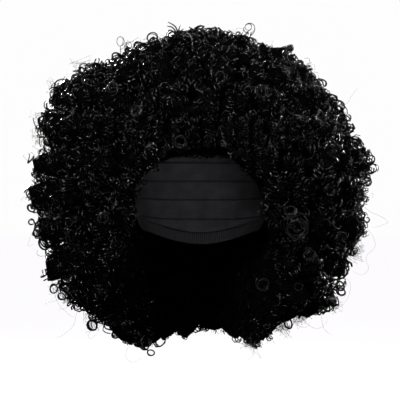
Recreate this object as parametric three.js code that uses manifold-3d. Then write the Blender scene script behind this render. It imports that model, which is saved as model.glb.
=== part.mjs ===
// Afro wig of curled synthetic hair, in millimetres, +Z up. The open front is towards -Y, and +X is
// the left side as the wig is worn. The origin is the highest point of the cap's inside.
// A stretch cap with an elastic edge band carries rings of weft, and each weft carries curl locks
// that fan out to the rounded outer form. Everything is laid out by directions from one centre
// in the hollow: a polar angle down from the crown, and an azimuth from the front towards +X.
import * as THREE from "three";
import { mergeVertices } from "three/addons/utils/BufferGeometryUtils.js";
import Module from "manifold-3d";

const wasm = await Module();
wasm.setup();

// Hollow inside the cap, and the narrower one below it
const headBreadth = 152; // widest, from side to side
const headLength = 190; // front to back
const crownHeight = 100; // widest level up to the crown
const napeDrop = 130; // widest level down to where the rounded form would close
const headFullness = 2.3; // exponent of the rounded form, 2 is an ellipsoid
const neckBreadth = 96;
const neckSetback = 8; // centre line of the narrow hollow behind the wide one's centre
const neckEase = 4; // hair stands this far off the narrow hollow

// Cap and its elastic edge
const capWall = 2;
const bandWidth = 12; // measured down the cap
const seatGap = 0.3; // between pieces that touch
const capColumns = 36; // facets round the cap

// Outer form of the hair, from the centre of the hollow
const sideReach = 182;
const topReach = 161;
const frontReach = 158;
const backReach = 168;
const dropReach = 186; // straight down

// Wefts and their locks
const crownPolar = 14; // half angle of the closing piece at the crown
const napePolar = 126; // where the lowest weft starts, at the nape edge of the cap
const ringCount = 9; // wefts between the crown piece and the lowest weft
const ringTurn = 25; // degrees that each weft is turned against the one above it
const napeRows = 3; // rows of locks on the lowest weft, hanging below the cap
const backing = 8; // matted roots on each weft
const lockSpacing = 40; // along a row, at the outer form
const lockScatter = 5; // how far lock ends vary in or out
const lockSkew = 0.12; // how far lock ends lean aside, as a share of their spacing
const rowSway = 0.25; // how far rows of the lowest weft stand to either side, as a share of spacing
const rowEdge = 0.89; // a lock's length at the edge of its row, as a share of its full length

// Small locks at the cap's front edge
const fringeSpacing = 22;
const fringeRows = 2;
const fringeAzimuth = 50; // to each side of the front
const fringePolar = 70; // degrees down from the crown, on the weft whose front they take over

// Opening at the front, as seen from there
const browDrop = 73; // crown down to the lowest curl of the fringe
const faceWidth = 132; // between the hair at its two sides
const faceDrop = 212; // height of the opening, from the fringe curls past the lowest curls

const hairLook = { color: 0x0b0a0c, roughness: 0.45, metalness: 0 };
const capLook = { color: 0x121114, roughness: 0.8, metalness: 0 };
const bandLook = { color: 0x1a191c, roughness: 0.7, metalness: 0 };

const centre = new THREE.Vector3(0, 0, -crownHeight);
const ringStep = (napePolar - crownPolar) / ringCount;
const fringeRing = Math.ceil((fringePolar - crownPolar) / ringStep);
const { degToRad, radToDeg, lerp, smoothstep } = THREE.MathUtils;

// Section across one lock, from the groove at its start: share of its spacing and of its length
const lockSection = [
  { across: 0, length: 0.35 },
  { across: 0.2, length: 0.88 },
  { across: 0.5, length: 1 },
  { across: 0.8, length: 0.88 },
];

// Fullness of the outer form by polar angle, as shares of the plain rounded form
const fullness = [
  { polar: 0, minusX: 1.0, plusX: 1.0, front: 1.0, back: 1.0 },
  { polar: 25, minusX: 0.98, plusX: 0.99, front: 1.0, back: 1.0 },
  { polar: 45, minusX: 1.01, plusX: 0.97, front: 0.99, back: 1.01 },
  { polar: 65, minusX: 1.03, plusX: 0.96, front: 0.94, back: 1.02 },
  { polar: 85, minusX: 0.99, plusX: 1.0, front: 0.85, back: 1.0 },
  { polar: 105, minusX: 0.99, plusX: 0.97, front: 0.77, back: 0.99 },
  { polar: 130, minusX: 1.03, plusX: 1.01, front: 0.73, back: 1.0 },
  { polar: 148, minusX: 1.01, plusX: 0.97, front: 0.74, back: 1.0 },
  { polar: 165, minusX: 1.02, plusX: 0.94, front: 0.76, back: 0.98 },
];

// Edges by azimuth from the front, in degrees down from the crown: of the cap, and of the hair
const edges = [
  { azimuth: 0, cap: 60, hair: 160 },
  { azimuth: 34, cap: 63, hair: 161 },
  { azimuth: 52, cap: 80, hair: 161.5 },
  { azimuth: 66, cap: 103, hair: 161.5 },
  { azimuth: 84, cap: 91, hair: 161.5 },
  { azimuth: 104, cap: 97, hair: 161.5 },
  { azimuth: 132, cap: 122, hair: 160 },
  { azimuth: 180, cap: 128, hair: 157 },
];

// Outline of the front opening from the top down: shares of faceDrop and of half of faceWidth
const faceOutline = [
  { drop: 0.0, minusX: 0.0, plusX: 0.0 },
  { drop: 0.01, minusX: 0.42, plusX: 0.42 },
  { drop: 0.06, minusX: 0.74, plusX: 0.62 },
  { drop: 0.14, minusX: 1.0, plusX: 0.86 },
  { drop: 0.22, minusX: 1.02, plusX: 0.96 },
  { drop: 0.36, minusX: 1.05, plusX: 1.03 },
  { drop: 0.5, minusX: 1.14, plusX: 1.12 },
  { drop: 0.66, minusX: 1.2, plusX: 1.18 },
  { drop: 1.0, minusX: 1.0, plusX: 1.0 },
];

// Reads a table's column at a value of its key, blended smoothly between rows.
function readTable(table, key, at, column) {
  const next = table.findIndex((row) => row[key] >= at);
  if (next === 0) return table[0][column];
  if (next < 0) return table[table.length - 1][column];
  const [a, b] = [table[next - 1], table[next]];
  return lerp(a[column], b[column], smoothstep(at, a[key], b[key]));
}

function edgePolar(azimuth, column) {
  return readTable(edges, "azimuth", Math.min(azimuth, 360 - azimuth), column);
}

// Unit direction for a polar angle down from the crown and an azimuth from the front.
function direction(polar, azimuth) {
  const [p, a] = [degToRad(polar), degToRad(azimuth)];
  return new THREE.Vector3(Math.sin(p) * Math.sin(a), -Math.sin(p) * Math.cos(a), Math.cos(p));
}

function pointAt(polar, azimuth, radius) {
  return direction(polar, azimuth).multiplyScalar(radius).add(centre);
}

// Angle that a length takes up on the cap.
function degreesDown(length) {
  return radToDeg(length / crownHeight);
}

// Radius of the wide hollow, or of the narrow one below it where that is further out.
function headRadius(polar, azimuth) {
  const d = direction(polar, azimuth);
  const sum =
    Math.abs(d.x / (headBreadth / 2)) ** headFullness +
    Math.abs(d.y / (headLength / 2)) ** headFullness +
    Math.abs(d.z / (d.z > 0 ? crownHeight : napeDrop)) ** headFullness;
  const head = sum ** (-1 / headFullness);
  if (d.z >= 0) return head;
  const flat = Math.hypot(d.x, d.y);
  const neck = neckBreadth / 2 + neckEase;
  const across = (neckSetback * d.x) / flat;
  const reach = (neckSetback * d.y) / flat + Math.sqrt(neck ** 2 - across ** 2);
  return Math.max(head, reach / flat);
}

// Radius of the hollow with an offset, straight between the boundaries of the wefts.
function seatRadius(polar, azimuth, offset) {
  const ring = Math.floor((polar - crownPolar) / ringStep);
  const low = ring < 0 ? 0 : crownPolar + ring * ringStep;
  const high = crownPolar + (ring + 1) * ringStep;
  const [a, b] = [low, Math.max(high, crownPolar)].map((at) => headRadius(at, azimuth) + offset);
  const [down, up] = [degToRad(polar - low), degToRad(high - polar)];
  return (a * b * Math.sin(down + up)) / (a * Math.sin(down) + b * Math.sin(up));
}

// Radius of the outer form of the hair.
function hairRadius(polar, azimuth) {
  const d = direction(polar, azimuth);
  const depth = d.y < 0 ? frontReach : backReach;
  const plain = 1 / Math.hypot(d.x / sideReach, d.y / depth, d.z / (d.z > 0 ? topReach : dropReach));
  const side = readTable(fullness, "polar", polar, d.x < 0 ? "minusX" : "plusX");
  const middle = readTable(fullness, "polar", polar, d.y < 0 ? "front" : "back");
  return plain * lerp(middle, side, Math.sin(degToRad(azimuth)) ** 2);
}

// A closed solid from a geometry, and a geometry back from a solid.
function toSolid(geometry) {
  const bare = new THREE.BufferGeometry();
  const loose = geometry.index ? geometry.toNonIndexed() : geometry;
  bare.setAttribute("position", loose.getAttribute("position"));
  const merged = mergeVertices(bare, 1e-3);
  const corners = Array.from(merged.index.array);
  const faces = [];
  for (let i = 0; i < corners.length; i += 3) {
    const [a, b, c] = corners.slice(i, i + 3);
    if (a !== b && b !== c && a !== c) faces.push(a, b, c);
  }
  return new wasm.Manifold(
    new wasm.Mesh({
      numProp: 3,
      vertProperties: new Float32Array(merged.attributes.position.array),
      triVerts: new Uint32Array(faces),
    }),
  );
}

function toGeometry(solid) {
  const mesh = solid.getMesh();
  const geometry = new THREE.BufferGeometry();
  geometry.setAttribute("position", new THREE.BufferAttribute(mesh.vertProperties, 3));
  geometry.setIndex(new THREE.BufferAttribute(mesh.triVerts, 1));
  geometry.computeVertexNormals();
  return geometry;
}

// Triangles that close a loop of locks, fanned from its inside corners and facing against the sweep.
function loopFace(loop) {
  const points = [];
  for (let row = 0; 3 * row < loop.length - 2; row++) {
    const [inner, below] = [loop[loop.length - 1 - row], loop[loop.length - 2 - row]];
    const [top, ridge, bottom] = loop.slice(2 * row, 2 * row + 3);
    points.push(inner, ridge, top, inner, bottom, ridge, inner, below, bottom);
  }
  return points;
}

// A solid swept round the hollow through closed loops, each listed down its outside and up its inside.
function sweep(loops, allRound) {
  const points = [];
  loops.forEach((here, i) => {
    if (i === loops.length - 1 && !allRound) return;
    const next = loops[(i + 1) % loops.length];
    here.forEach((p, k) => {
      const after = (k + 1) % here.length;
      points.push(p, here[after], next[k], here[after], next[after], next[k]);
    });
  });
  if (!allRound) points.push(...loopFace(loops[0]), ...loopFace(loops[loops.length - 1]).reverse());
  return toSolid(new THREE.BufferGeometry().setFromPoints(points));
}

// A shell round the hollow, as thick as the cap, through its rows of polar angles at each azimuth.
function headShell(rowsAt) {
  const loops = [];
  for (let i = 0; i < capColumns; i++) {
    const azimuth = (360 * i) / capColumns;
    const side = (offset) =>
      rowsAt(azimuth).map((polar) => pointAt(polar, azimuth, seatRadius(polar, azimuth, offset)));
    loops.push([...side(capWall), ...side(0).reverse()]);
  }
  return sweep(loops, true);
}

// Half of the front opening's width at a height, on one side.
function faceHalf(z, side) {
  const drop = (-browDrop - z) / faceDrop;
  return (faceWidth / 2) * readTable(faceOutline, "drop", drop, side < 0 ? "minusX" : "plusX");
}

// The space before the front opening that the hair leaves free.
function faceSpace() {
  const half = (side) => faceOutline.map(({ drop }) => {
    const z = -browDrop - drop * faceDrop;
    return new THREE.Vector2(side * faceHalf(z, side), z);
  });
  const bottom = new THREE.Vector2(0, -browDrop - 2 * faceDrop);
  const shape = new THREE.Shape([...half(1), bottom, ...half(-1).reverse().slice(0, -1)]);
  const prism = new THREE.ExtrudeGeometry(shape, { depth: 2 * frontReach, bevelEnabled: false });
  return toSolid(prism.rotateX(Math.PI / 2));
}

// First azimuth from the front, to one side, at which the hair clears the opening.
function faceEdge(polar, side) {
  for (let azimuth = 0; azimuth < 90; azimuth++) {
    const p = pointAt(polar, side * azimuth, hairRadius(polar, side * azimuth));
    if (p.z > -browDrop || Math.abs(p.x) > faceHalf(p.z, side)) return azimuth;
  }
  return 90;
}

// Loop through the locks of a weft at one azimuth, where they have a share of their full length.
function lockLoop({ polars, azimuth, share, scatter, skew, sway }) {
  const outside = polars.map((polar, row) => {
    if (polar === 0) return pointAt(0, 0, topReach);
    const ridge = row % 2 === 1;
    const towards = azimuth + sway * Math.sin((row * Math.PI) / 2) + (ridge ? skew : 0);
    const base = seatRadius(polar, towards, capWall + seatGap + backing);
    const full = Math.max(hairRadius(polar, towards) + scatter, base + backing);
    return pointAt(polar, towards, lerp(base, full, share * (ridge ? 1 : rowEdge)));
  });
  const inside = polars
    .filter((polar, row) => row % 2 === 0)
    .map((polar) => pointAt(polar, azimuth, seatRadius(polar, azimuth, capWall + seatGap)));
  return [...outside, ...inside.reverse()];
}

// One weft: its matted roots and its rows of locks, from one polar angle to another. A staggered one
// starts and ends half a lock further out.
function weft({ from, to, rows = 1, start = 0, end = 360, spacing = lockSpacing, stagger = false }) {
  const allRound = end - start === 360;
  const reach = sideReach * Math.sin(degToRad((from + to) / 2));
  const fitting = Math.max(5, Math.round((reach * degToRad(end - start)) / spacing));
  const pitch = (end - start) / fitting;
  const [count, first] = stagger ? [fitting + 1, start - pitch / 2] : [fitting, start];
  const half = degreesDown(seatGap / 2);
  const loops = [];
  const addLoop = (lock, { across, length }) => {
    const azimuth = first + (lock + across) * pitch;
    const bottom = rows > fringeRows ? edgePolar(azimuth, "hair") : to - half;
    const top = from === 0 ? 0 : from + half;
    const polars = Array.from({ length: 2 * rows + 1 }, (_, k) => lerp(top, bottom, k / (2 * rows)));
    const wave = across === 0 ? 0 : Math.sin(2.4 * lock + from);
    const lean = across === 0 ? 0 : lockSkew * pitch * Math.cos(3.7 * lock + from);
    const sway = rows > fringeRows ? rowSway * pitch : 0;
    loops.push(lockLoop({ polars, azimuth, share: length, scatter: wave * lockScatter, skew: lean, sway }));
  };
  for (let lock = 0; lock < count; lock++) lockSection.forEach((column) => addLoop(lock, column));
  if (!allRound) addLoop(count, lockSection[0]);
  return sweep(loops, allRound);
}

const part = new THREE.Group();

// Adds a piece as its one connected body: crumbs that a cut leaves loose are trimmed off.
function addPiece(name, solid, look) {
  const body = solid.decompose().reduce((a, b) => (a.volume() > b.volume() ? a : b));
  const mesh = new THREE.Mesh(toGeometry(body), new THREE.MeshStandardMaterial(look));
  mesh.name = name;
  part.add(mesh);
}

// Cap and its elastic edge band
const boundaries = Array.from({ length: ringCount + 1 }, (_, k) => crownPolar + k * ringStep);
const bandTop = (azimuth) => edgePolar(azimuth, "cap") - degreesDown(bandWidth);
const cap = headShell((azimuth) => [0, ...boundaries].map((polar) => Math.min(polar, bandTop(azimuth))));
const band = headShell((azimuth) => [bandTop(azimuth) + degreesDown(seatGap), edgePolar(azimuth, "cap")]);
addPiece("cap", cap, capLook);
addPiece("edge_band", band, bandLook);

// Hair, from the crown down to the nape
const face = faceSpace();
const parting = degreesDown(seatGap / 2);
addPiece("crown_weft", weft({ from: 0, to: crownPolar, spacing: lockSpacing / 2 }), hairLook);
for (let ring = 1; ring <= ringCount; ring++) {
  const [from, to] = [boundaries[ring - 1], boundaries[ring]];
  const middle = (from + to) / 2;
  const behindFringe = ring === fringeRing ? fringeAzimuth + parting : 0;
  const open = [1, -1].map((side) => Math.max(behindFringe, faceEdge(middle, side)));
  const turn = open[0] + open[1] > 0 ? 0 : ring * ringTurn;
  const stagger = ring > fringeRing && ring % 2 === 0;
  const solid = weft({ from, to, start: turn + open[0], end: turn + 360 - open[1], stagger });
  addPiece(`weft_${ring}`, solid.subtract(face), hairLook);
}

const fringe = weft({
  from: boundaries[fringeRing - 1],
  to: boundaries[fringeRing],
  rows: fringeRows,
  start: parting - fringeAzimuth,
  end: fringeAzimuth - parting,
  spacing: fringeSpacing,
});
addPiece("fringe_weft", fringe.subtract(face), hairLook);

const napeMiddle = (napePolar + edgePolar(90, "hair")) / 2;
const nape = weft({
  from: napePolar,
  to: edgePolar(90, "hair"),
  rows: napeRows,
  start: faceEdge(napeMiddle, 1),
  end: 360 - faceEdge(napeMiddle, -1),
});
addPiece("nape_weft", nape.subtract(face), hairLook);

export default part;
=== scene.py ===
import itertools
import math
import random

import bmesh
import bpy
import numpy as np
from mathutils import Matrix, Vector, noise
from mathutils.bvhtree import BVHTree


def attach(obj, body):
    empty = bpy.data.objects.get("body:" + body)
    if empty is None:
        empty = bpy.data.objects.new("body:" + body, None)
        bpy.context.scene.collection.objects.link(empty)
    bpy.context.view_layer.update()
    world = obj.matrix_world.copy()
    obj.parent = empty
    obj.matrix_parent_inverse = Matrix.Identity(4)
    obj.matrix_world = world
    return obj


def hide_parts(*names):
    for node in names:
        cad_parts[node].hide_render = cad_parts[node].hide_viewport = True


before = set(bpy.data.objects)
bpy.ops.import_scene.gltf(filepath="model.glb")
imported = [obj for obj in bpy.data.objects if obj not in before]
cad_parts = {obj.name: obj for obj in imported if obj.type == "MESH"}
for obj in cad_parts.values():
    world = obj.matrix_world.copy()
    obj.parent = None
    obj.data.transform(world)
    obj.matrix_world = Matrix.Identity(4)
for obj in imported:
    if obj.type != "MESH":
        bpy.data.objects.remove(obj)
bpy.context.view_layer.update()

print("frame loaded,", len(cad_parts), "nodes")


# A wire is a node's output: sums on wires add Math nodes, and add() adds any other node.
class Wire:
    def __init__(self, tree, socket=None):
        self.tree = tree
        self.socket = socket

    # Settings come first, then a number, a wire or a list of wires for each input.
    def add(self, kind, settings=None, inputs=None, output=0):
        node = self.tree.nodes.new(kind)
        for name, value in (settings or {}).items():
            setattr(node, name, value)
        for key, value in (inputs or {}).items():
            for one in value if isinstance(value, list) else [value]:
                if isinstance(one, Wire):
                    self.tree.links.new(one.socket, node.inputs[key])
                else:
                    node.inputs[key].default_value = one
        return Wire(self.tree, node.outputs[output] if node.outputs else None)

    def out(self, name):
        return Wire(self.tree, self.socket.node.outputs[name])

    def math(self, operation, *values):
        return self.add("ShaderNodeMath", {"operation": operation}, dict(enumerate(values)))

    def vector(self, operation, *values):
        return self.add("ShaderNodeVectorMath", {"operation": operation}, dict(enumerate(values)))

    def mix(self, share, low, high):
        return self.add("ShaderNodeMix", {"data_type": "RGBA"}, {0: share, 6: low, 7: high}, output=2)

    def noiseAt(self, place, scale, detail=3.0):
        return self.add("ShaderNodeTexNoise", None, {"Vector": place, "Scale": scale, "Detail": detail})

    def __add__(self, other):
        return self.math("ADD", self, other)

    def __radd__(self, other):
        return self.math("ADD", other, self)

    def __sub__(self, other):
        return self.math("SUBTRACT", self, other)

    def __rsub__(self, other):
        return self.math("SUBTRACT", other, self)

    def __mul__(self, other):
        return self.math("MULTIPLY", self, other)

    def __rmul__(self, other):
        return self.math("MULTIPLY", other, self)


def startMaterial(name):
    material = bpy.data.materials.new(name)
    material.use_nodes = True
    material.node_tree.nodes.clear()
    return material, Wire(material.node_tree)


# Ends a material: sockets that vary get wires, the others plain numbers.
def endMaterial(wire, bumps, sockets):
    normal = wire.add("ShaderNodeBump", None, bumps, output="Normal")
    surface = wire.add("ShaderNodeBsdfPrincipled", None, {**sockets, "Normal": normal})
    wire.add("ShaderNodeOutputMaterial", None, {"Surface": surface})


def attribute(wire, name):
    return wire.add("ShaderNodeAttribute", {"attribute_name": name}, output="Fac")


def grey(level, blue=1.0):
    return (level, level * 0.97, level * blue, 1.0)


print("materials")
fibreLook = {
    "dark": 0.00005, "light": 0.0004,
    "paintedSheenTop": 40.0,  # how far past light the base colour may go: room for the painted sheen of the front rings
    "dull": 0.30, "glossy": 0.14, "specular": 0.115,
    "streaksAround": 7.0,  # fibres across half a strand
    "streakLength": 9.0, "streakDepth": 0.00012,
}


# Curled synthetic fibre: fine streaks run along each strand, and no two curls have quite one tone; the tone
# also carries painted shade in the creases between clumps and a painted sheen on the front rings.
def makeFibre(name, look):
    material, wire = startMaterial(name)
    tone = attribute(wire, "curlTone")
    across = attribute(wire, "aroundStrand") * look["streaksAround"]
    along = attribute(wire, "alongStrand") * look["streakLength"]
    place = wire.add("ShaderNodeCombineXYZ", None, {"X": across, "Y": along, "Z": tone * 40.0})
    streaks = wire.noiseAt(place, 1.0, 2.0)
    share = tone * 0.65 + streaks * 0.35
    # The top of this colour range is reached only by the front rings, whose tone is a painted sheen for
    # light they catch.
    paintedSheenTop = look["dark"] + (look["light"] - look["dark"]) * look["paintedSheenTop"]
    low, high = grey(look["dark"], 1.15), grey(paintedSheenTop, 1.15)
    gloss = wire.math("MINIMUM", share * 1.6, 1.0)
    endMaterial(
        wire,
        {"Strength": 0.5, "Distance": look["streakDepth"], "Height": streaks},
        {
            "Base Color": wire.mix(share * (1 / look["paintedSheenTop"]), low, high),
            "Roughness": look["dull"] - gloss * (look["dull"] - look["glossy"]),
            "Specular IOR Level": look["specular"],
        },
    )
    return material


rootLook = {
    "dark": 0.00004, "light": 0.0002, "roughness": 0.6, "specular": 0.008, "ringSize": 95.0,
    "ringDepth": 0.0018,
}


# Matted hair under the curls: packed rings and fine strands, in relief.
def makeMatted(name, look):
    material, wire = startMaterial(name)
    place = wire.add("ShaderNodeTexCoord", output="Object")
    bent = wire.noiseAt(place, 60.0, 2.0).out("Color")
    shifted = wire.vector("ADD", place, wire.vector("MULTIPLY", bent, (0.012, 0.012, 0.012)))
    cells = wire.add(
        "ShaderNodeTexVoronoi", None, {"Vector": shifted, "Scale": look["ringSize"]}, output="Distance")
    rings = wire.math("SINE", cells * 30.0) * 0.5 + 0.5
    strands = wire.noiseAt(shifted, 700.0)
    height = rings * 0.8 + strands * 0.2
    endMaterial(
        wire,
        {"Strength": 1.0, "Distance": look["ringDepth"], "Height": height},
        {
            "Base Color": wire.mix(height, grey(look["dark"]), grey(look["light"], 1.1)),
            "Roughness": look["roughness"] - rings * 0.15,
            "Specular IOR Level": look["specular"],
        },
    )
    return material


netLook = {
    "thread": 0.14, "hole": 0.014, "meshSize": 0.0026, "slant": 0.7, "wear": 70.0, "roughness": 0.8,
    "depth": 0.0004,
    "firstTrack": 0.0244,  # down from the crown to the first sewn weft
    "trackStep": 0.02172,
}


# Starts a woven material on the cap's own map, in metres.
def startWoven(name, size):
    material, wire = startMaterial(name)
    place = wire.add("ShaderNodeUVMap", {"uv_map": "capMap"})
    parts = wire.add("ShaderNodeSeparateXYZ", None, {"Vector": place})
    return material, wire, place, parts.out("X"), parts.out("Y"), 2 * math.pi / size


# Stretch net: two sets of slanting threads.
def makeNet(name, look):
    material, wire, place, across, down, turn = startWoven(name, look["meshSize"])
    one = wire.math("SINE", (across + down * look["slant"]) * turn)
    two = wire.math("SINE", (across - down * look["slant"]) * turn)
    thread = wire.math("SMOOTH_MAX", one, two, 0.4) * 0.5 + 0.5
    worn = wire.noiseAt(place, look["wear"])
    rows = wire.math("COSINE", (down - look["firstTrack"]) * (2 * math.pi / look["trackStep"]))
    track = wire.math("POWER", wire.math("MAXIMUM", rows, 0.0), 30.0)
    share = thread * (worn * 1.2 + 0.25) * (1.0 - track * 0.75)
    endMaterial(
        wire,
        {"Strength": 0.8, "Distance": look["depth"], "Height": thread + track * 4.0},
        {
            "Base Color": wire.mix(share, grey(look["hole"]), grey(look["thread"], 1.1)),
            "Roughness": look["roughness"] - worn * 0.15,
            "Specular IOR Level": 0.2,
        },
    )
    return material


elasticLook = {"low": 0.02, "high": 0.15, "ribSize": 0.0022, "roughness": 0.72, "depth": 0.0005}


# Woven elastic: ribs run across the band, with a fine weave along it.
def makeElastic(name, look):
    material, wire, place, across, down, turn = startWoven(name, look["ribSize"])
    ribs = wire.math("SINE", across * turn) * 0.5 + 0.5
    weave = wire.math("SINE", down * (turn * 3.0)) * 0.5 + 0.5
    worn = wire.noiseAt(place, 120.0)
    height = ribs * 0.8 + weave * 0.2
    endMaterial(
        wire,
        {"Strength": 0.9, "Distance": look["depth"], "Height": height},
        {
            "Base Color": wire.mix(height * (worn * 0.6 + 0.5), grey(look["low"]), grey(look["high"], 1.1)),
            "Roughness": look["roughness"] - worn * 0.12,
            "Specular IOR Level": 0.2,
        },
    )
    return material


fibre = makeFibre("curledFibre", fibreLook)
matted = makeMatted("mattedRoots", rootLook)
net = makeNet("stretchNet", netLook)
elastic = makeElastic("wovenElastic", elasticLook)
thread = makeFibre("sewingThread", {**fibreLook, "dark": 0.03, "light": 0.12, "specular": 0.3})


def newObject(name, data):
    made = bpy.data.objects.new(name, data)
    bpy.context.scene.collection.objects.link(made)
    return made


def newMesh(name, points, faces, material=None):
    mesh = bpy.data.meshes.new(name)
    mesh.from_pydata([tuple(p) for p in points], [], [tuple(f) for f in faces])
    mesh.polygons.foreach_set("use_smooth", [True] * len(mesh.polygons))
    if material:
        mesh.materials.append(material)
    mesh.update()
    return mesh


def storeOn(mesh, name, kind, values):
    held = mesh.attributes.new(name, kind, "POINT")
    field = "vector" if kind == "FLOAT_VECTOR" else "value"
    held.data.foreach_set(field, np.asarray(values, np.float32).ravel())


def countTriangles(piece):
    return sum(len(p.vertices) - 2 for p in piece.data.polygons)


# Joins objects into the first one and hands it over as a finished piece of the wig.
def finishPiece(name, objects, node):
    with bpy.context.temp_override(active_object=objects[0], selected_editable_objects=objects):
        bpy.ops.object.join()
    piece = objects[0]
    piece.name = name
    piece.data.name = name
    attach(piece, "root")
    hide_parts(node)
    print("  ", name, countTriangles(piece))


# Turns an object's modifiers into plain mesh.
def applyModifiers(made):
    result = bpy.data.meshes.new_from_object(made.evaluated_get(bpy.context.evaluated_depsgraph_get()))
    made.modifiers.clear()
    made.data = result


# Runs a node tree on a mesh and keeps the result as a plain mesh.
def growOn(name, mesh, tree, values):
    grown = newObject(name, mesh)
    modifier = grown.modifiers.new("grow", "NODES")
    modifier.node_group = tree
    for item in tree.interface.items_tree:
        if item.in_out == "INPUT" and item.name in values:
            modifier[item.identifier] = values[item.name]
    applyModifiers(grown)
    return grown


def startTree(name, inputs):
    tree = bpy.data.node_groups.new(name, "GeometryNodeTree")
    tree.interface.new_socket("Geometry", in_out="INPUT", socket_type="NodeSocketGeometry")
    for label, kind in inputs.items():
        tree.interface.new_socket(label, in_out="INPUT", socket_type="NodeSocket" + kind)
    tree.interface.new_socket("Geometry", in_out="OUTPUT", socket_type="NodeSocketGeometry")
    wire = Wire(tree)
    return tree, wire, wire.add("NodeGroupInput")


def named(wire, name, kind="FLOAT"):
    return wire.add("GeometryNodeInputNamedAttribute", {"data_type": kind}, {"Name": name})


# Curls on points: each point gets one of a few coils, turned to its own axis, in its own size.
def makeCurlTree(name, kinds):
    tree, wire, given = startTree(name, {
        "Turns": "Float",
        "Coil Radius": "Float",
        "Rise Per Turn": "Float",
        "Strand Radius": "Float",
        "Tip Share": "Float",
        "Wander": "Float",
        "Wander Scale": "Float",
        "Steps Per Turn": "Int",
        "Sides": "Int",
        "Seed": "Int",
        "Material": "Material",
    })
    profile = wire.add("GeometryNodeCurvePrimitiveCircle", None, {
        "Resolution": given.out("Sides"), "Radius": given.out("Strand Radius")})
    along = wire.add("GeometryNodeSplineParameter")
    profile = wire.add("GeometryNodeStoreNamedAttribute", {"data_type": "FLOAT", "domain": "POINT"}, {
        "Geometry": profile, "Name": "aroundStrand", "Value": along})
    coils = []
    for share, tighten, reverse in kinds:
        turns = given.out("Turns") * share
        height = turns * given.out("Rise Per Turn")
        coil = wire.add("GeometryNodeCurveSpiral", None, {
            "Resolution": given.out("Steps Per Turn"),
            "Rotations": turns,
            "Start Radius": given.out("Coil Radius"),
            "End Radius": given.out("Coil Radius") * tighten,
            "Height": height,
            "Reverse": reverse,
        })
        coil = wire.add("GeometryNodeStoreNamedAttribute", {"data_type": "FLOAT", "domain": "POINT"}, {
            "Geometry": coil, "Name": "alongStrand", "Value": along.out("Factor") * turns})
        lowered = wire.add("ShaderNodeCombineXYZ", None, {"Z": height * -0.5})
        coil = wire.add("GeometryNodeSetPosition", None, {"Geometry": coil, "Offset": lowered})
        taper = 1.0 - wire.math("POWER", along.out("Factor"), 2.0) * (1.0 - given.out("Tip Share"))
        coil = wire.add("GeometryNodeCurveToMesh", None, {
            "Curve": coil, "Profile Curve": profile, "Scale": taper, "Fill Caps": True})
        coils.append(wire.add("GeometryNodeSetShadeSmooth", None, {"Geometry": coil}))
    choices = wire.add("GeometryNodeGeometryToInstance", None, {"Geometry": coils})
    pick = wire.add("FunctionNodeRandomValue", {"data_type": "INT"}, {
        4: 0, 5: len(kinds) - 1, 8: given.out("Seed")}, output=2)
    aside = wire.add("FunctionNodeRandomValue", {"data_type": "FLOAT_VECTOR"}, {
        0: (-1, -1, -1), 1: (1, 1, 1), 8: given.out("Seed")})
    turned = wire.add("FunctionNodeAxesToRotation", {"primary_axis": "Z", "secondary_axis": "X"}, {
        "Primary Axis": named(wire, "curlAxis", "FLOAT_VECTOR"), "Secondary Axis": aside})
    placed = wire.add("GeometryNodeInstanceOnPoints", None, {
        "Points": given.out("Geometry"),
        "Instance": choices,
        "Pick Instance": True,
        "Instance Index": pick,
        "Rotation": turned,
        "Scale": named(wire, "curlSize"),
    })
    curls = wire.add("GeometryNodeRealizeInstances", None, {"Geometry": placed})
    place = wire.add("GeometryNodeInputPosition")
    drift = wire.noiseAt(place, given.out("Wander Scale"), 1.0).out("Color")
    centred = wire.vector("SUBTRACT", drift, (0.5, 0.5, 0.5))
    curls = wire.add("GeometryNodeSetPosition", None, {
        "Geometry": curls, "Offset": wire.vector("MULTIPLY", centred, given.out("Wander"))})
    curls = wire.add("GeometryNodeSetMaterial", None, {"Geometry": curls, "Material": given.out("Material")})
    wire.add("NodeGroupOutput", None, {"Geometry": curls})
    return tree


# Share of the full turns, how far the coil closes in towards its tip, and the hand of each coil.
curlKinds = [
    (0.55, 0.8, False), (0.75, 0.6, True), (0.95, 0.85, False),
    (1.15, 0.7, True), (1.4, 0.9, False), (1.0, 0.5, True),
]
curlTree = makeCurlTree("curlsOnPoints", curlKinds)

capLook = {
    "halfWidth": 0.076, "halfDepth": 0.095, "rise": 0.1, "drop": 0.13, "roundness": 2.3,
    "girth": 0.57,
    "reach": 0.1,  # from the middle, to turn lengths down the cap into angles
    "reachAround": 0.09, "columns": 144, "rows": 44, "bandRows": 5, "wall": 0.0013,
    "bandWall": 0.0018, "bandWidth": 0.012, "gap": 0.0004,
    "underHair": 0.012,  # roots this near to the cap bear no curls
    "pastEdge": 4,  # degrees
}
# Edge of the cap by azimuth from the front, in degrees down from the crown.
capEdge = [(0, 60), (34, 63), (52, 80), (66, 103), (84, 91), (104, 97), (132, 122), (180, 128)]


def easeBetween(low, high, value):
    share = np.clip((value - low) / (high - low), 0, 1)
    return share * share * (3 - 2 * share)


def directionAt(polar, azimuth):
    p, a = math.radians(polar), math.radians(azimuth)
    return Vector((math.sin(p) * math.sin(a), -math.sin(p) * math.cos(a), math.cos(p)))


def hollowRadius(d):
    power, up = capLook["roundness"], capLook["rise"] if d.z > 0 else capLook["drop"]
    total = abs(d.x / capLook["halfWidth"]) ** power + abs(d.y / capLook["halfDepth"]) ** power
    return (total + abs(d.z / up) ** power) ** (-1 / power)


def onHollow(polar, azimuth, offset):
    d = directionAt(polar, azimuth)
    return hairCentre + d * (hollowRadius(d) + offset)


def edgeAt(azimuth):
    folded = min(azimuth % 360, 360 - azimuth % 360)
    for (low, first), (high, second) in zip(capEdge, capEdge[1:]):
        if folded <= high:
            return first + (second - first) * float(easeBetween(low, high, folded))
    return capEdge[-1][1]


def bandTop(azimuth):
    return edgeAt(azimuth) - math.degrees(capLook["bandWidth"] / capLook["reach"])


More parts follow.
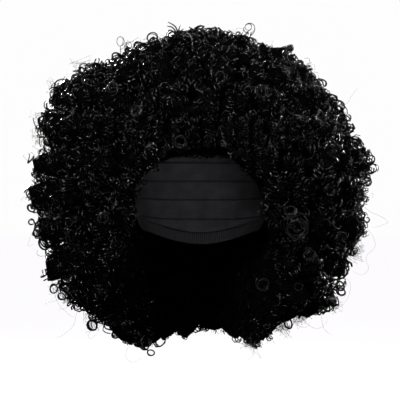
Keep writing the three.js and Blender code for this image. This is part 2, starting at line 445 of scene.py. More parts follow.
def anglesOf(away):
    return math.degrees(away.angle(Vector((0, 0, 1)))), math.degrees(math.atan2(away.x, -away.y))


# True where a place is on the cap, under the roots of the hair.
def onCap(place):
    away = place - hairCentre
    polar, azimuth = anglesOf(away)
    under = hollowRadius(away.normalized()) + capLook["underHair"]
    return polar < edgeAt(azimuth) + capLook["pastEdge"] and away.length < under


hairCentre = Vector((0, 0, -0.1))
hollowAxis = 0.008  # how far back the centre line of the lower hollow stands
hairNodes = ["crown_weft"] + [f"weft_{k}" for k in range(1, 10)] + ["fringe_weft", "nape_weft"]


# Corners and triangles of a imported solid, its loose corners merged.
def solidOf(node):
    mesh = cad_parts[node].data
    mesh.calc_loop_triangles()
    corners = np.array([v.co for v in mesh.vertices])
    faces = np.array([t.vertices for t in mesh.loop_triangles])
    _, first, where = np.unique(np.round(corners, 6), axis=0, return_index=True, return_inverse=True)
    faces = where.ravel()[faces]
    whole = (faces[:, 0] != faces[:, 1]) & (faces[:, 1] != faces[:, 2]) & (faces[:, 0] != faces[:, 2])
    return corners[first], faces[whole]


solids = {name: solidOf(name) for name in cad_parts}


# One search tree over solids, with the node that each triangle is from.
def makeSearch(names):
    corners, faces, owners = [], [], []
    for name in names:
        points, triangles = solids[name]
        faces.extend((triangles + sum(len(c) for c in corners)).tolist())
        corners.append(points)
        owners.extend([name] * len(triangles))
    every = np.concatenate(corners)
    return BVHTree.FromPolygons([Vector(p) for p in every], faces), owners


search, _ = makeSearch(solids)
hairSearch, hairOwners = makeSearch(hairNodes)


clumpLook = {"size": 0.033, "rise": 0.0040, "fall": 0.0050, "crease": 0.42, "fuller": 0.0022}
# How much fuller the outline is than the solids, seen from the front: degrees round from the top,
# then millimetres.
outlineFullness = [
    (-180, 0), (-150, 1), (-145, -4), (-140, 1), (-128, 7), (-118, -4), (-110, 3), (-100, 4),
    (-95, -4), (-91, 0), (-85, -5), (-80, -5), (-75, -9), (-68, 0), (-60, 3), (-54, 7), (-45, -3),
    (-32, -5), (-25, 3), (-19, 6), (-13, 6), (-6, -4), (0, -5), (10, -6), (16, -1), (21, 6),
    (29, -3), (35, 6), (47, -3), (62, 2), (75, -2), (88, 2), (96, 0), (102, 5), (112, 7),
    (120, -8), (126, -2), (132, 9), (141, 4), (146, -5), (152, -2), (180, 0),
]
openLook = {"from": 0.112, "to": 0.145, "axisFrom": 0.057, "axisTo": 0.078}


# One on the outer form of the hair, and nothing beside the hollow.
def openShare(place, low=openLook["from"], high=openLook["to"]):
    fromAxis = math.hypot(place.x, place.y - hollowAxis)
    share = easeBetween(low, high, (place - hairCentre).length)
    return float(share * easeBetween(openLook["axisFrom"], openLook["axisTo"], fromAxis))


fillLook = {
    "from": 0.104, "to": 0.124,
    "step": 3,  # degrees between the rows and columns of the table
    "spread": 0.075, "power": 40, "core": 0.6, "curls": 0.8,
    "full": 0.013,  # gaps up to this deep are filled
    "none": 0.022,  # deeper ones than this are left
}


# The round form that the tips of the locks reach, as a table of radii by polar angle and azimuth.
def makeEnvelope():
    points = np.concatenate([solids[name][0] for name in hairNodes]) - np.array(hairCentre)
    radii = np.linalg.norm(points, axis=1)
    outward = points / radii[:, None]
    step = fillLook["step"]
    table = np.zeros((180 // step + 1, 360 // step + 1))
    for row in range(table.shape[0]):
        aims = np.array([directionAt(row * step, column * step) for column in range(table.shape[1])])
        weights = np.exp((aims @ outward.T - 1) / fillLook["spread"] ** 2) + 1e-9
        mean = (weights * radii ** fillLook["power"]).sum(1) / weights.sum(1)
        table[row] = mean ** (1 / fillLook["power"])
    return table


envelope = makeEnvelope()


# How far hair in a gap between locks is to be brought out, so that the gap is filled.
def fillAt(place):
    away = place - hairCentre
    polar, azimuth = anglesOf(away)
    polar, azimuth = polar / fillLook["step"], azimuth % 360 / fillLook["step"]
    row, column = min(int(polar), envelope.shape[0] - 2), min(int(azimuth), envelope.shape[1] - 2)
    down, aside = polar - row, azimuth - column
    upper = envelope[row, column] * (1 - aside) + envelope[row, column + 1] * aside
    lower = envelope[row + 1, column] * (1 - aside) + envelope[row + 1, column + 1] * aside
    gap = max(upper * (1 - down) + lower * down - away.length, 0)
    share = 1 - easeBetween(fillLook["full"], fillLook["none"], gap)
    return float(gap * share * openShare(place, fillLook["from"], fillLook["to"]))


# How far a clump of curls stands out at a place, and how near that place is to the clump's middle.
def clumpAt(place):
    near = noise.voronoi(Vector(place) / clumpLook["size"])[0]
    share = float(easeBetween(0, clumpLook["crease"], near[1] - near[0]))
    lift = share * (clumpLook["rise"] + clumpLook["fall"]) - clumpLook["fall"] + clumpLook["fuller"]
    away = place - hairCentre
    beside = math.hypot(away.x, away.z)
    angles, extra = zip(*outlineFullness)
    fuller = np.interp(math.degrees(math.atan2(away.x, away.z)), angles, extra) / 1000
    lift += float(fuller * easeBetween(0.7, 0.93, beside / away.length))
    return lift * openShare(place), share


coreLook = {"letOut": 0.0008, "bulge": 0.0035, "lumps": 140, "smallLumps": 330}


# The matted inside of a weft: its solid, rounded and made lumpy, for the curls to stand on.
def makeCore(node, look):
    points, faces = solids[node]
    lifted = []
    for point in points:
        away = Vector(point) - hairCentre
        lifted.append(Vector(point) + away.normalized() * (look["letOut"] * openShare(Vector(point))))
    core = newObject(node + "Core", newMesh(node + "Core", lifted, faces, matted))
    rounded = core.modifiers.new("rounded", "SUBSURF")
    rounded.levels = rounded.render_levels = 1
    applyModifiers(core)
    for vertex in core.data.vertices:
        lump = noise.noise(vertex.co * look["lumps"]) + 0.5 * noise.noise(vertex.co * look["smallLumps"])
        lift = lump * look["bulge"] * openShare(vertex.co) + clumpAt(vertex.co)[0]
        lift += fillAt(vertex.co) * fillLook["core"]
        vertex.co += (vertex.co - hairCentre).normalized() * lift
    return core


scatterLook = {"tries": 3, "closest": 0.85, "startOff": 5e-5, "outerReach": 0.06}


# Scatters roots over a solid where it is open to the air, no two closer than the spacing allows.
def scatterRoots(node, spacing, reach, seed):
    points, faces = solids[node]
    a, b, c = (points[faces[:, k]] for k in range(3))
    normals = np.cross(b - a, c - a)
    areas = np.linalg.norm(normals, axis=1) / 2
    normals /= (2 * areas)[:, None] + 1e-12
    chance = np.random.default_rng(seed)
    count = int(areas.sum() / spacing ** 2 * scatterLook["tries"])
    chosen = chance.choice(len(faces), count, p=areas / areas.sum())
    u, v = chance.random(count), chance.random(count)
    over = u + v > 1
    u[over], v[over] = 1 - u[over], 1 - v[over]
    places = a[chosen] + (b - a)[chosen] * u[:, None] + (c - a)[chosen] * v[:, None]
    neighbours = list(itertools.product((-1, 0, 1), repeat=3))
    kept, cells = [], {}
    for place, normal in zip(places, normals[chosen]):
        start = Vector(place)
        facing = Vector(normal)
        out = (start - hairCentre).normalized()
        cell = tuple(int(k) for k in np.floor(place / spacing))
        near = [cells.get((cell[0] + i, cell[1] + j, cell[2] + k)) for i, j, k in neighbours]
        closest = spacing * scatterLook["closest"]
        if any(other is not None and (other - start).length < closest for other in near):
            continue
        clear = start + facing * scatterLook["startOff"]
        way = out if facing.dot(out) > -0.1 else facing
        if onCap(start) or search.ray_cast(clear, facing, reach)[0]:
            continue
        if search.ray_cast(clear, way, scatterLook["outerReach"])[0]:
            continue
        cells[cell] = start
        kept.append((start, facing, out))
    return kept


# A mesh of bare points that carry what the curl tree reads.
def rootMesh(name, places, axes, sizes, tonesWithPaintedLight):
    mesh = bpy.data.meshes.new(name)
    mesh.from_pydata([tuple(p) for p in places], [], [])
    storeOn(mesh, "curlAxis", "FLOAT_VECTOR", [tuple(a) for a in axes])
    storeOn(mesh, "curlSize", "FLOAT", sizes)
    storeOn(mesh, "curlTone", "FLOAT", tonesWithPaintedLight)
    return mesh


curlLook = {
    "Turns": 1.9, "Coil Radius": 0.0043, "Rise Per Turn": 0.0036, "Strand Radius": 0.00078,
    "Tip Share": 0.45, "Wander": 0.005, "Wander Scale": 80.0, "Steps Per Turn": 8, "Sides": 3,
    "spacing": 0.00765, "smallest": 0.72, "largest": 1.55, "openReach": 0.005, "sink": 0.0020,
    "innerSink": 0.0035, "innerSize": 0.62,
    "upright": 0.28,  # share of the curls that stand off the surface
}
fringeLook = {
    **curlLook,
    "Coil Radius": 0.0032, "Strand Radius": 0.00045, "Rise Per Turn": 0.0024, "Wander": 0.004,
    "spacing": 0.0046, "openReach": 0.006, "sink": 0.0012,
}
frizzLook = {
    "Turns": 0.6, "Coil Radius": 0.0062, "Rise Per Turn": 0.006, "Strand Radius": 0.00016,
    "Tip Share": 0.5, "Wander": 0.012, "Wander Scale": 70.0, "Steps Per Turn": 9, "Sides": 3,
    "spacing": 0.018, "smallest": 0.6, "largest": 1.4, "openReach": 0.03, "sink": -0.003,
    "innerSink": 0.0, "innerSize": 0.62, "upright": 0.6,
}


rollLook = {"stands": 0.005, "around": 0.0115, "deep": 0.05}


# True where a root would bury a rolled curl at the edge.
def besideRoll(start, out):
    tip = start + out * rollLook["stands"]
    for across, down, *_ in rolledCurls:
        spot = fromPicture(across, down, tip.y)
        if (tip - spot).length < rollLook["around"] and abs(tip.y) < rollLook["deep"]:
            return True
    return False


# Turns roots into curls: most lie along the surface and show as rings and arcs, the rest stand off it.
def growCurls(node, look, seed):
    chance = random.Random(seed)
    places, axes, sizes, tonesWithPaintedLight = [], [], [], []
    for start, facing, out in scatterRoots(node, look["spacing"], look["openReach"], seed):
        if besideRoll(start, out):
            continue
        level = Vector((start.x, start.y - hollowAxis, 0)).normalized()
        inward = facing.dot(level) < -0.35 or (facing.dot(out) < -0.1 and node != "fringe_weft")
        aside = Vector([chance.uniform(-1, 1) for _ in range(3)])
        flat = (aside - facing * aside.dot(facing)).normalized()
        stands = chance.random() < look["upright"]
        lean = math.radians(chance.uniform(5, 50) if stands else chance.uniform(55, 90))
        size = look["smallest"] + (look["largest"] - look["smallest"]) * chance.random() ** 1.7
        lift, middle = clumpAt(start)
        lift += fillAt(start) * fillLook["curls"]
        if inward:
            size, lift = size * look["innerSize"], 0
            lean = math.radians(chance.uniform(65, 90))
        places.append(start - facing * (look["innerSink"] if inward else look["sink"]) + out * lift)
        axes.append(facing * math.cos(lean) + flat * math.sin(lean))
        sizes.append(size)
        # Random tone, darkened towards the creases between clumps: painted shade, which also dulls the gloss
        # there.
        tonesWithPaintedLight.append(chance.random() ** 1.6 * (0.35 + 0.65 * middle))
    name = f"{node}Curls{seed}"
    values = {**look, "Seed": seed, "Material": fibre}
    return growOn(name, rootMesh(name, places, axes, sizes, tonesWithPaintedLight), curlTree, values)


# Single curls that stand out from the form: place across and down in the picture's pixels, then
# millimetres for the coil, its turns, its rise per turn and its strand, and the lean of its axis.
pixel = 0.001056
pictureCentre = (201, 182.5)
edgeCurls = [
    # across, down, radius, turns, rise, strand, lean
    (120.5, 41.5, 5.6, 1.5, 0.6, 0.36, 20), (116.5, 57, 5.6, 1.4, 1.2, 1.0, 10),
    (107, 61, 2.8, 1.6, 1.0, 0.8, 20), (139, 46, 7.0, 2.4, 2.0, 1.1, 60),
    (152, 37, 6.2, 1.8, 1.4, 0.7, 15), (176, 40, 4.2, 1.6, 1.4, 1.0, 10),
    (184, 36, 5.6, 1.7, 1.4, 0.9, 20), (199, 33, 7.6, 2.2, 1.8, 1.3, 35),
    (214, 33, 5.0, 1.9, 1.6, 1.1, 50), (249, 30, 6.9, 1.2, 0.5, 0.45, 8),
    (248, 28, 4.2, 1.1, 0.6, 0.5, 20), (298, 66, 5.8, 1.6, 1.6, 1.1, 35),
    (312, 76, 5.0, 2.2, 2.6, 0.8, 60), (322, 84, 5.2, 1.8, 1.6, 0.8, 20),
    (338, 106, 7.6, 1.5, 2.0, 1.1, 20), (349, 117, 4.2, 1.3, 1.6, 0.8, 30),
    (356, 146, 8.6, 2.7, 1.2, 0.7, 15), (371, 159.5, 5.4, 1.5, 1.2, 0.85, 10),
    (367, 181, 5.8, 2.3, 1.4, 0.8, 20), (363, 202, 5.0, 1.9, 1.6, 0.8, 35),
    (343, 263, 5.6, 1.7, 1.6, 1.15, 20), (344, 272, 5.2, 1.5, 1.4, 1.15, 15),
    (340, 286, 5.4, 1.5, 1.2, 1.1, 10), (341, 291.5, 4.8, 1.4, 1.2, 1.1, 25),
    (366, 219.5, 3.2, 0.8, 1.6, 0.95, 25), (288, 323, 6.4, 1.6, 1.4, 1.05, 40),
    (307, 313, 4.8, 1.7, 1.6, 0.8, 35), (247, 341, 4.0, 1.7, 1.4, 0.8, 25),
    (84, 69, 6.4, 1.7, 1.4, 0.7, 10), (93, 67, 5.8, 1.5, 1.4, 0.7, 25),
    (61.5, 87, 8.6, 1.3, 1.4, 0.8, 10), (44, 122, 7.4, 2.0, 2.4, 0.7, 30),
    (44, 132, 6.4, 1.8, 2.0, 0.75, 25), (45.5, 143, 5.0, 1.3, 0.8, 0.3, 15),
    (41.5, 152, 3.6, 1.6, 0.9, 0.7, 5), (36, 194, 4.6, 1.6, 1.2, 1.0, 15),
    (32.5, 208, 4.8, 1.6, 1.4, 1.0, 30), (32.5, 222, 3.2, 1.4, 1.2, 0.9, 15),
    (39.5, 226, 6.2, 1.8, 1.8, 1.05, 35), (45, 243, 6.8, 2.6, 2.0, 1.1, 60),
    (53, 266, 5.8, 1.7, 1.4, 1.05, 30), (54, 289, 5.2, 1.5, 1.3, 0.85, 20),
    (62, 296, 4.4, 1.6, 1.2, 0.75, 15), (93, 325, 6.6, 2.6, 2.2, 1.1, 45),
    (93, 317, 5.0, 1.4, 2.0, 0.8, 30), (117, 333, 5.8, 1.9, 1.6, 1.05, 40),
    (130, 341, 4.8, 1.7, 1.3, 0.9, 20), (145, 346, 5.4, 2.2, 1.6, 0.85, 35),
    (151, 353, 4.2, 1.5, 1.2, 0.8, 20),
]
# Curls rolled tight like a spring: the last number is the way they point, in degrees down from level.
rolledCurls = [
    (39, 168, 6.4, 13.0, 1.75, 1.15, 114),
    (287, 50, 4.6, 8.0, 1.75, 1.15, -22),
]
# Rings and rosettes in front, their base colour lifted by a painted sheen; the last number is the share of
# the radius left at the end.
surfaceCurls = [
    # across, down, radius, turns, rise, strand, close
    (65, 133, 6.4, 1.3, 0.5, 0.38, 0.9), (130, 125, 5.8, 1.3, 0.5, 0.38, 0.9),
    (141, 114, 6.8, 2.2, 0.5, 0.38, 0.55), (157, 117, 6.2, 2.3, 0.5, 0.38, 0.5),
    (179, 140, 7.8, 2.4, 0.5, 0.38, 0.5), (86, 185, 7, 1.2, 0.6, 0.38, 0.9),
    (77, 238, 11, 3.4, 0.4, 0.38, 0.3), (103, 218, 6, 1.8, 0.5, 0.38, 0.7),
    (309, 153, 7.4, 1.4, 0.6, 0.38, 0.85), (297, 226, 15, 4.6, 0.4, 0.34, 0.2),
    (290, 212, 8, 2.4, 0.5, 0.38, 0.5), (309, 255, 7, 1.5, 0.6, 0.38, 0.7),
    (302, 283, 5.4, 1.8, 0.5, 0.38, 0.6), (263, 284, 8, 2.2, 0.5, 0.38, 0.5),
    (221, 77, 6.6, 1.8, 0.6, 0.38, 0.6), (262, 94, 7.4, 2, 0.6, 0.38, 0.5),
    (112, 90, 7, 2.2, 0.5, 0.38, 0.5), (321, 118, 6.6, 1.6, 0.5, 0.38, 0.7),
]
# Small curls that hang into the front opening.
openingCurls = [
    (142, 178, 4.6, 1.6, 1.4, 0.5, 25), (147, 183, 3.8, 1.5, 1.2, 0.45, 35),
    (140, 188, 5.6, 2.2, 1.2, 0.5, 15), (141, 195, 3.6, 1.5, 1.2, 0.45, 35),
    (163, 159, 3.4, 1.3, 1.2, 0.42, 30), (176, 156, 3.2, 1.4, 1.0, 0.42, 40),
    (189, 157, 3.4, 1.4, 1.0, 0.42, 20), (200, 158, 3.8, 1.6, 1.0, 0.42, 30),
    (212, 157, 3.4, 1.4, 1.0, 0.42, 20), (226, 158, 3.6, 1.3, 1.2, 0.42, 35),
    (240, 162, 3.4, 1.4, 1.0, 0.42, 25), (252, 170, 3.6, 1.4, 1.2, 0.45, 30),
    (261, 205, 4.6, 1.8, 1.2, 0.55, 20), (262, 213, 5.0, 1.8, 1.2, 0.6, 25),
    (264, 220, 4.0, 1.5, 1.2, 0.55, 35),
]
# Single hairs that stray from the outline: millimetres of strand, then the places along each one.
strayHairs = [(0.12, places) for places in (
    [(364, 206), (372, 212), (383, 217), (389, 222), (382, 226), (374, 228)],
    [(360, 226), (370, 232), (375, 246), (366, 257), (368, 268), (362, 275), (352, 271)],
    [(342, 275), (350, 283), (349, 296), (342, 306)],
    [(292, 320), (299, 326), (306, 327), (310, 322)],
    [(306, 322), (314, 328), (322, 327), (328, 320)],
    [(322, 322), (325, 330), (332, 335)],
    [(246, 342), (253, 347), (254, 355), (248, 361)],
    [(52, 283), (58, 303), (66, 312), (74, 318)],
    [(78, 312), (74, 325), (63, 335), (56, 337)],
    [(92, 330), (88, 336), (92, 338), (97, 333)],
    [(44, 220), (33, 232), (28, 246), (34, 244)],
    [(346, 104), (352, 96), (359, 87)],
    [(126, 352), (127, 360), (134, 363), (142, 358)],
)] + [
    (0.95, [(179, 42), (178, 33), (175, 26), (168, 22)]),
    (0.90, [(178, 42), (176, 32), (172, 27), (167, 26)]),
    (0.85, [(177, 41), (175, 34), (171, 30), (167, 31)]),
    (0.80, [(179, 37), (179, 30), (180.5, 25)]),
]
# Patches of short frizz at the outline: across, down, reach in the picture, hairs.
frizzPatches = [
    (356, 250, 8, 90), (334, 306, 7, 60), (322, 307, 6, 50), (300, 319, 8, 60),
    (284, 329, 8, 70), (272, 326, 7, 60), (256, 336, 8, 70), (246, 345, 6, 40),
    (36, 113, 5, 14), (50, 82, 6, 14), (36, 142, 6, 26), (74, 65, 6, 14), (262, 45, 7, 22),
    (308, 66, 6, 18), (128, 47, 7, 40), (88, 322, 8, 40), (60, 302, 7, 40),
]


coilLook = {"steps": 12, "flattest": 0.82, "waver": 0.07, "slide": 0.12}


# One coil as a path, led in from its root so that it is held by the hair.
def coilPath(root, centre, axis, radius, turns, rise, close, chance):
    side = (root - centre) - axis * (root - centre).dot(axis)
    side = side.normalized() if side.length > 1e-6 else axis.orthogonal().normalized()
    up = axis.cross(side)
    steps = max(10, int(turns * coilLook["steps"]))
    path = [root, root.lerp(centre + side * radius, 0.5)]
    squash, phase = chance.uniform(coilLook["flattest"], 1.0), chance.uniform(0, 6)
    for k in range(steps + 1):
        angle = 2 * math.pi * turns * k / steps
        lift = rise * (turns * k / steps - turns / 2)
        waver = coilLook["waver"] * math.sin(2.3 * angle + phase)
        reach = radius * (1 - (1 - close) * k / steps + waver)
        slide = side * (coilLook["slide"] * radius * math.sin(angle * 0.37 + phase))
        spoke = side * math.cos(angle) + up * (squash * math.sin(angle))
        path.append(centre + spoke * reach + axis * lift + slide)
    return path


tubeLook = {"taper": 0.6, "taperPower": 4, "streaks": 30}


# Tubes swept along paths, as corners, faces and what the fibre reads.
def sweepTubes(name, paths, strands, tonesWithPaintedLight, sides):
    points, faces, around, along, tone = [], [], [], [], []
    for path, strand, level in zip(paths, strands, tonesWithPaintedLight):
        first = len(points)
        across = (path[1] - path[0]).orthogonal().normalized()
        travelled = 0.0
        for k, here in enumerate(path):
            ahead = (path[min(k + 1, len(path) - 1)] - path[max(k - 1, 0)]).normalized()
            across = (across - ahead * across.dot(ahead)).normalized()
            other = ahead.cross(across)
            travelled += (here - path[max(k - 1, 0)]).length
            thinned = tubeLook["taper"] * (k / (len(path) - 1)) ** tubeLook["taperPower"]
            radius = strand * (1 - thinned)
            for s in range(sides):
                angle = 2 * math.pi * s / sides
                points.append(here + (across * math.cos(angle) + other * math.sin(angle)) * radius)
                around.append(s / sides)
                along.append(travelled * tubeLook["streaks"])
                tone.append(level)
        for k in range(len(path) - 1):
            for s in range(sides):
                low, after = first + k * sides + s, first + k * sides + (s + 1) % sides
                faces.append((low, after, after + sides, low + sides))
        faces.append(tuple(range(first + sides - 1, first - 1, -1)))
        faces.append(tuple(first + (len(path) - 1) * sides + s for s in range(sides)))
    mesh = newMesh(name, points, faces, fibre)
    storeOn(mesh, "aroundStrand", "FLOAT", around)
    storeOn(mesh, "alongStrand", "FLOAT", along)
    storeOn(mesh, "curlTone", "FLOAT", tone)
    return newObject(name, mesh)


cameraPlace = Vector((-0.001, -1.745, -0.1185))


def fromPicture(across, down, depth):
    level = hairCentre.z - (down - pictureCentre[1]) * pixel
    return Vector(((across - pictureCentre[0]) * pixel, depth, level))


seatLook = {
    "openingDepth": -0.1, "edgeSink": 0.005, "edgeClose": 0.75, "rollLean": 70, "ringSink": 0.004,
    # The rings' tone is a painted sheen: a base colour far paler than the fibre's own, for the light they
    # catch.
    "ringLift": 0.0055, "ringPaintedSheen": 18.0, "hairSway": 0.004, "frizzStrand": 0.00013,
    "frizzReach": 0.014,
    "fine": 0.0002,  # strands up to this are swept with three sides
}


# Seats the single curls: at the edge on the nearest hair, in front on what the camera meets.
def seatCurls():
    chance = random.Random(71)
    seated = {}

    def seat(index, path, strand, tone):
        seated.setdefault(hairOwners[index], []).append((path, strand, tone))

    starts = [(0.0, row) for row in edgeCurls + rolledCurls]
    starts += [(seatLook["openingDepth"], row) for row in openingCurls]
    for depth, row in starts:
        across, down, radius, turns, rise, strand, lean = row
        centre = fromPicture(across, down, depth)
        for _ in range(3):
            root, facing, index, _ = hairSearch.find_nearest(centre)
            centre.y = root.y
        side = Vector((chance.uniform(-1, 1), 0, chance.uniform(-1, 1))).normalized()
        lean = math.radians(lean)
        if row in rolledCurls:
            side, lean = Vector((math.cos(lean), 0, -math.sin(lean))), math.radians(seatLook["rollLean"])
        axis = (Vector((0, -math.cos(lean), 0)) + side * math.sin(lean)).normalized()
        held, close = root - facing * seatLook["edgeSink"], seatLook["edgeClose"]
        path = coilPath(held, centre, axis, radius / 1000, turns, rise / 1000, close, chance)
        seat(index, path, strand / 1000, chance.random())
    for across, down, radius, turns, rise, strand, close in surfaceCurls:
        aim = (fromPicture(across, down, 0) - cameraPlace).normalized()
        root, facing, index, _ = hairSearch.ray_cast(cameraPlace, aim)
        if root is None:
            continue
        axis = (facing * 0.6 - aim).normalized()
        centre = root + axis * (seatLook["ringLift"] + max(clumpAt(root)[0], 0))
        held = root - facing * seatLook["ringSink"]
        path = coilPath(held, centre, axis, radius / 1000, turns, rise / 1000, close, chance)
        # Painted sheen: these rings get a much paler base colour than the other curls.
        seat(index, path, strand / 1000, seatLook["ringPaintedSheen"])
    for strand, places in strayHairs:
        marks = [fromPicture(*place, 0) for place in places]
        root, facing, index, _ = hairSearch.find_nearest(marks[0])
        for mark in marks:
            mark.y = root.y + chance.uniform(-seatLook["hairSway"], seatLook["hairSway"])
        path = smoothPath([root - facing * 0.004, *marks])
        seat(index, path, strand / 1000, 0.5)
    for across, down, reach, count in frizzPatches:
        for _ in range(count):
            aside = [chance.gauss(0, 0.45) * reach for _ in range(2)]
            tip = fromPicture(across + aside[0], down + aside[1], chance.gauss(0, 0.01))
            root, facing, index, _ = hairSearch.find_nearest(tip)
            gap = tip - root
            if gap.length > seatLook["frizzReach"]:
                tip = root + gap * (seatLook["frizzReach"] / gap.length)
            bent = gap.length * 0.6 + 0.001
            bends = [Vector([chance.uniform(-bent, bent) for _ in range(3)]) for _ in range(2)]
            middle = [root.lerp(tip, 0.35) + bends[0], root.lerp(tip, 0.7) + bends[1]]
            marks = [root - facing * 0.003, *middle, tip]
            seat(index, marks, seatLook["frizzStrand"], 0.5)
    return seated


# A point on the smooth curve through four marks, between the second and the third.
def curveBetween(a, b, c, d, t):
    bend, twist = a * 2 - b * 5 + c * 4 - d, b * 3 - a - c * 3 + d
    return (b * 2 + (c - a) * t + bend * t ** 2 + twist * t ** 3) * 0.5


def smoothPath(marks):
    path = []
    for k in range(len(marks) - 1):
        before, ahead = marks[max(k - 1, 0)], marks[min(k + 2, len(marks) - 1)]
        for step in range(5):
            path.append(curveBetween(before, marks[k], marks[k + 1], ahead, step / 5))
    return path + [marks[-1]]


print("hair")
seated = seatCurls()
for number, node in enumerate(hairNodes):
    look = fringeLook if node == "fringe_weft" else curlLook
    parts = [makeCore(node, coreLook), growCurls(node, look, 11 + number)]
    parts.append(growCurls(node, frizzLook, 111 + number))
    if node in seated:
        thick = [row for row in seated[node] if row[1] > seatLook["fine"]]
        fine = [row for row in seated[node] if row[1] <= seatLook["fine"]]
        for rows, sides in ((thick, 5), (fine, 3)):
            if rows:
                parts.append(sweepTubes(f"{node}Single{sides}", *zip(*rows), sides))
    finishPiece(node + "_curls", parts, node)

print("cap")


# A thin shell on the form of the cap between two polar angles, closed at its rims, mapped in metres.
def makeShell(name, top, bottom, rows, wall, material):
    columns = capLook["columns"]
    points, faces = [], []
    closedTop = top(0) == 0
    for offset in (wall, 0.0):
        for r in range(rows + 1):
            for c in range(columns):
                azimuth = 360 * c / columns
                polar = top(azimuth) + (bottom(azimuth) - top(azimuth)) * r / rows
                points.append(onHollow(polar, azimuth, offset))
    layer = (rows + 1) * columns

    def at(side, r, c):
        return side * layer + r * columns + c % columns

    for r in range(rows):
        for c in range(columns):
            faces.append((at(0, r, c), at(0, r + 1, c), at(0, r + 1, c + 1), at(0, r, c + 1)))
            faces.append((at(1, r, c + 1), at(1, r + 1, c + 1), at(1, r + 1, c), at(1, r, c)))
    for c in range(columns):
        faces.append((at(0, rows, c), at(1, rows, c), at(1, rows, c + 1), at(0, rows, c + 1)))
        if not closedTop:
            faces.append((at(1, 0, c), at(0, 0, c), at(0, 0, c + 1), at(1, 0, c + 1)))
    mesh = newMesh(name, points, faces, material)
    layerMap = mesh.uv_layers.new(name="capMap")
    for polygon in mesh.polygons:
        corner = [mesh.vertices[v].co for v in polygon.vertices]
        turns = [math.atan2(p.x, -p.y) % (2 * math.pi) for p in corner]
        if max(turns) - min(turns) > math.pi:
            turns = [t + 2 * math.pi if t < math.pi else t for t in turns]
        for loop, turn, p in zip(polygon.loop_indices, turns, corner):
            fall = (p - hairCentre).angle(Vector((0, 0, 1)))
            layerMap.data[loop].uv = (turn * capLook["reachAround"], fall * capLook["reach"])
    return mesh


def mergeClose(mesh):
    shape = bmesh.new()
    shape.from_mesh(mesh)
    bmesh.ops.remove_doubles(shape, verts=shape.verts, dist=1e-6)
    shape.to_mesh(mesh)
    shape.free()


capMesh = makeShell("capShell", lambda a: 0, bandTop, capLook["rows"], capLook["wall"], net)
mergeClose(capMesh)
gapAngle = math.degrees(capLook["gap"] / capLook["reach"])
bandMesh = makeShell(
    "bandShell", lambda a: bandTop(a) + gapAngle, edgeAt, capLook["bandRows"], capLook["bandWall"], elastic)

stitchLook = {
    "Length": 0.0026, "Thickness": 0.00032, "trackSpacing": 0.0042, "bandSpacing": 0.0034,
    "tracks": 10, "trackRadius": 0.092, "trackStep": 0.5,
    "clearance": 1.5,  # degrees between a track and the elastic
    "firstTrack": 14, "lastTrack": 126, "offCap": -0.0001, "bandRows": (0.22, 0.78), "slant": 1.2,
}


# Stitches on points: a short rounded thread on each, laid along its own direction.
def makeStitchTree():
    tree, wire, given = startTree("stitchesOnPoints", {
        "Length": "Float", "Thickness": "Float", "Material": "Material"})
    half = given.out("Length") * 0.5
    line = wire.add("GeometryNodeCurvePrimitiveLine", None, {
        "Start": wire.add("ShaderNodeCombineXYZ", None, {"Z": half * -1.0}),
        "End": wire.add("ShaderNodeCombineXYZ", None, {"Z": half}),
    })
    line = wire.add("GeometryNodeResampleCurve", None, {"Curve": line, "Count": 5})
    along = wire.add("GeometryNodeSplineParameter")
    swell = wire.math("SQRT", wire.math("SINE", along.out("Factor") * 2.6 + 0.27))
    profile = wire.add("GeometryNodeCurvePrimitiveCircle", None, {
        "Resolution": 5, "Radius": given.out("Thickness")})
    stitch = wire.add("GeometryNodeCurveToMesh", None, {
        "Curve": line, "Profile Curve": profile, "Scale": swell, "Fill Caps": True})
    turned = wire.add("FunctionNodeAxesToRotation", {"primary_axis": "Z", "secondary_axis": "X"}, {
        "Primary Axis": named(wire, "curlAxis", "FLOAT_VECTOR"), "Secondary Axis": (0.3, 0.2, 0.9)})
    placed = wire.add("GeometryNodeInstanceOnPoints", None, {
        "Points": given.out("Geometry"), "Instance": stitch, "Rotation": turned})
    rows = wire.add("GeometryNodeRealizeInstances", None, {"Geometry": placed})
    rows = wire.add("GeometryNodeSetShadeSmooth", None, {"Geometry": rows})
    rows = wire.add("GeometryNodeSetMaterial", None, {"Geometry": rows, "Material": given.out("Material")})
    wire.add("NodeGroupOutput", None, {"Geometry": rows})
    return tree


stitchTree = makeStitchTree()


# One stitch: where it lies on the cap, and the way it runs.
def stitchAt(polar, azimuth, down, around):
    off = stitchLook["offCap"]
    here = onHollow(polar, azimuth, off)
    return here, (onHollow(polar + down, azimuth + around, off) - here).normalized()


# Rows where the wefts are sewn to the cap.
def capStitches():
    stitches = []
    first, last, tracks = (stitchLook[key] for key in ("firstTrack", "lastTrack", "tracks"))
    for ring in range(tracks):
        polar = first + (last - first) * ring / (tracks - 1)
        around = 2 * math.pi * math.sin(math.radians(polar)) * stitchLook["trackRadius"]
        count = int(around / stitchLook["trackSpacing"])
        for azimuth in (360 * k / count for k in range(count)):
            if polar <= bandTop(azimuth) - stitchLook["clearance"]:
                stitches.append(stitchAt(polar, azimuth, 0, stitchLook["trackStep"]))
    return stitches


# Zigzag stitches that hold the elastic.
def bandStitches():
    stitches = []
    for row, share in enumerate(stitchLook["bandRows"]):
        count = int(capLook["girth"] / stitchLook["bandSpacing"])
        for k in range(count):
            azimuth = 360 * (k + 0.5 * row) / count
            top, bottom = bandTop(azimuth), edgeAt(azimuth)
            slant = stitchLook["slant"] if k % 2 else -stitchLook["slant"]
            stitches.append(stitchAt(top + (bottom - top) * share, azimuth, slant, 1.0))
    return stitches


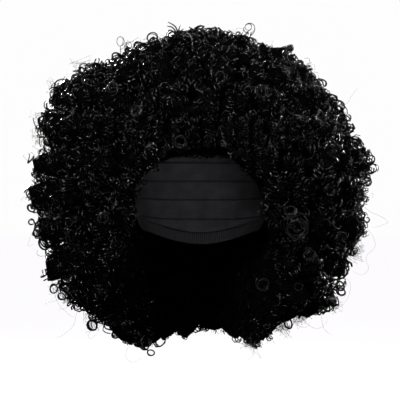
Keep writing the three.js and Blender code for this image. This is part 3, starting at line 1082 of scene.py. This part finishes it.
def sewOn(name, stitches):
    places, axes = zip(*stitches)
    mesh = rootMesh(name, places, axes, [1.0] * len(places), [0.5] * len(places))
    values = {**stitchLook, "Material": thread}
    return growOn(name, mesh, stitchTree, values)


capPiece = newObject("capShell", capMesh)
finishPiece("cap_net", [capPiece, sewOn("capStitches", capStitches())], "cap")
bandPiece = newObject("bandShell", bandMesh)
finishPiece("edge_elastic", [bandPiece, sewOn("bandStitches", bandStitches())], "edge_band")

print("studio")
studio = {
    "floorLevel": -0.46, "floorSize": 14.0, "floorTone": 0.02, "floorGlow": 0.975,
    "surroundGlow": 0.985, "surroundReach": 1.5, "surroundRings": 24, "surroundColumns": 48,
    "ambient": 0.018, "lens": 148.5, "sensor": 36,
}


# Pale floor and surround that the camera sees; they throw no light back on the black hair.
def makeStage():
    material, wire = startMaterial("paleFloor")
    place = wire.add("ShaderNodeTexCoord", output="Object")
    grain = wire.noiseAt(place, 30.0)
    tone, glow = studio["floorTone"], studio["floorGlow"]
    low, high = (tone * 0.97, tone * 0.97, tone * 0.98, 1), (tone, tone, tone * 1.01, 1)
    endMaterial(
        wire,
        {"Strength": 0.05, "Distance": 0.001, "Height": grain},
        {
            "Base Color": wire.mix(grain, low, high),
            "Roughness": 0.85,
            "Specular IOR Level": 0.0,
            "Emission Color": (glow, glow * 0.985, glow * 1.01, 1),
            "Emission Strength": 1.0,
        },
    )
    half, level = studio["floorSize"], studio["floorLevel"]
    corners = [(-half, -half, level), (half, -half, level), (half, half, level), (-half, half, level)]
    floor = newObject("floor", newMesh("floor", corners, [(0, 1, 2, 3)], material))
    glowing, wire = startMaterial("paleSurround")
    emit = wire.add("ShaderNodeEmission", None, {
        "Color": (1, 1, 1, 1), "Strength": studio["surroundGlow"]})
    wire.add("ShaderNodeOutputMaterial", None, {"Surface": emit})
    rings, columns = studio["surroundRings"], studio["surroundColumns"]
    points, faces = [], []
    for r in range(rings + 1):
        for c in range(columns):
            d = directionAt(1 + 178 * r / rings, 360 * c / columns)
            points.append(d * (half * studio["surroundReach"]))
    for r in range(rings):
        for c in range(columns):
            after = (c + 1) % columns
            low, high = r * columns, (r + 1) * columns
            faces.append((low + c, low + after, high + after, high + c))
    faces.append(tuple(range(columns - 1, -1, -1)))
    faces.append(tuple(rings * columns + c for c in range(columns)))
    surround = newObject("surround", newMesh("surround", points, faces, glowing))
    for staged in (floor, surround):
        staged.visible_diffuse = staged.visible_glossy = staged.visible_shadow = False


makeStage()

world = bpy.data.worlds.new("studioAir")
world.use_nodes = True
background = world.node_tree.nodes["Background"]
background.inputs["Color"].default_value = (0.98, 0.98, 1.0, 1)
background.inputs["Strength"].default_value = studio["ambient"]
bpy.context.scene.world = world

# Soft boxes: name, place, size and power in watts; each looks at the middle of the hair.
softBoxes = [
    ("keyBox", (-1.1, -1.8, 0.9), 0.34, 185.0),
    ("fillBox", (1.5, -1.5, 0.6), 0.34, 68.0),
    ("frontBox", (0.2, -2.3, -0.35), 0.9, 9.0),
    ("topBox", (-0.2, -0.5, 1.7), 0.6, 34.0),
    ("rearBox", (-0.9, 1.9, 0.8), 0.5, 105.0),
    ("rearFillBox", (1.6, 1.3, 0.3), 0.5, 75.0),
]
for name, place, size, power in softBoxes:
    light = bpy.data.lights.new(name, "AREA")
    light.shape = "DISK"
    light.size = size
    light.energy = power
    lamp = newObject(name, light)
    lamp.location = place
    lamp.rotation_mode = "QUATERNION"
    lamp.rotation_quaternion = (hairCentre - Vector(place)).to_track_quat("-Z", "Y")

lensData = bpy.data.cameras.new("camera")
lensData.lens = studio["lens"]
lensData.sensor_width = studio["sensor"]
camera = newObject("camera", lensData)
camera.location = cameraPlace
camera.rotation_euler = (math.pi / 2, 0, 0)
bpy.context.scene.camera = camera
bpy.context.scene.view_settings.view_transform = "Standard"
